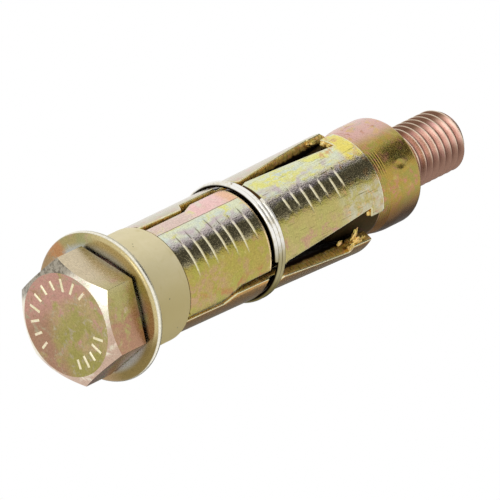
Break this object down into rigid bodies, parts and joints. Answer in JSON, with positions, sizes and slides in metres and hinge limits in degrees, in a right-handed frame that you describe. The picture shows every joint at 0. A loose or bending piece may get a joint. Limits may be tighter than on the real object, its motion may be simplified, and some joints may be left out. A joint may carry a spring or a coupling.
{
  "type": "shield anchor",
  "caption": "Hex bolt with washer, plastic ferrule, slotted shield segments held by a wire ring, and a cone nut that spreads them in a drilled hole.",
  "frame": {"origin": "centre of the flat face of the bolt's head, on which the anchor stands", "axes": "+Z along the bolt from its head towards the end of its thread; -Y towards the middle of shield_segment_1"},
  "size_m": [0.0228, 0.0228, 0.0867],
  "materials": {
    "bolt_steel": "zinc plated, yellow passivated",
    "washer_steel": "zinc plated, yellow passivated",
    "ferrule_plastic": "moulded, matt",
    "shield_steel": "pressed sheet, zinc plated, yellow passivated",
    "ring_wire": "bright drawn spring wire",
    "nut_steel": "turned, zinc plated, yellow passivated"
  },
  "bodies": {
    "sleeve": {"ferrule": "ferrule_plastic", "spring_ring": "ring_wire", "washer": "washer_steel"},
    "bolt": {"hex_bolt": "bolt_steel"},
    "nut": {"cone_nut": "nut_steel"},
    "segment_1": {"shield_segment_1": "shield_steel"},
    "segment_2": {"shield_segment_2": "shield_steel"},
    "segment_3": {"shield_segment_3": "shield_steel"}
  },
  "joints": [
    {"name": "bolt_turn", "type": "hinge", "parent": "sleeve", "child": "bolt", "pos_m": [0, 0, 0], "axis": [0, 0, 1], "range_deg": [0, 720]},
    {"name": "nut_draw", "type": "slide", "parent": "sleeve", "child": "nut", "axis": [0, 0, -1], "range_m": [0, 0.003]},
    {"name": "segment_1_spread", "type": "hinge", "parent": "sleeve", "child": "segment_1", "pos_m": [0, -0.0077, 0.032], "axis": [1, 0, 0], "range_deg": [0, 2]},
    {"name": "segment_2_spread", "type": "hinge", "parent": "sleeve", "child": "segment_2", "pos_m": [0.00667, 0.00385, 0.032], "axis": [-0.5, 0.866, 0], "range_deg": [0, 0.5]},
    {"name": "segment_3_spread", "type": "hinge", "parent": "sleeve", "child": "segment_3", "pos_m": [-0.00667, 0.00385, 0.032], "axis": [-0.5, -0.866, 0], "range_deg": [0, 2]}
  ],
  "couplings": [
    {"joint": "nut_draw", "follows": "bolt_turn", "m_per_rad": 0.0002387},
    {"joint": "segment_1_spread", "follows": "bolt_turn", "ratio": 0.002777},
    {"joint": "segment_2_spread", "follows": "bolt_turn", "ratio": 0.000694},
    {"joint": "segment_3_spread", "follows": "bolt_turn", "ratio": 0.002777}
  ]
}
